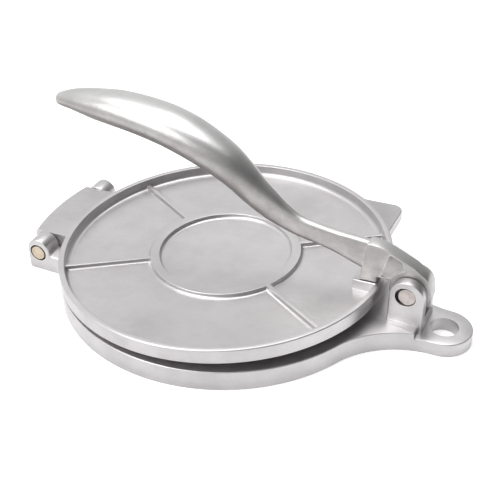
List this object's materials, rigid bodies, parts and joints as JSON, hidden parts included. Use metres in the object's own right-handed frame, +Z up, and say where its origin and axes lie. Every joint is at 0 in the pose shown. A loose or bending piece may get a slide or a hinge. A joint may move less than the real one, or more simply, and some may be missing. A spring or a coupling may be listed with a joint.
{
  "type": "chapati maker",
  "caption": "Cast aluminium hand press for chapati and other flatbreads, with round plates, a hinged top plate and a long lever.",
  "frame": {"origin": "centre of the round base at its bottom face, on the table", "axes": "+X from the hinge to the hanging lug, +Y to the back, +Z up"},
  "size_m": [0.2746, 0.2, 0.1121],
  "materials": {
    "cast_aluminium": "satin",
    "polished_aluminium": "polished",
    "hinge_steel": "brushed",
    "pivot_steel": "brushed"
  },
  "bodies": {
    "base": {"base_plate": "cast_aluminium", "hinge_pin": "hinge_steel", "pivot_pin": "pivot_steel"},
    "lid": {"top_plate": "cast_aluminium"},
    "handle": {"lever": "polished_aluminium"}
  },
  "joints": [
    {"name": "lever_pivot", "type": "hinge", "parent": "base", "child": "handle", "pos_m": [0.1159, 0, 0.0298], "axis": [0, 1, 0], "range_deg": [0, 140]},
    {"name": "lid_hinge", "type": "hinge", "parent": "base", "child": "lid", "pos_m": [-0.1103, 0, 0.0122], "axis": [0, -1, 0], "range_deg": [0, 11.2]}
  ],
  "couplings": [
    {"joint": "lid_hinge", "follows": "lever_pivot", "ratio": 0.08}
  ]
}
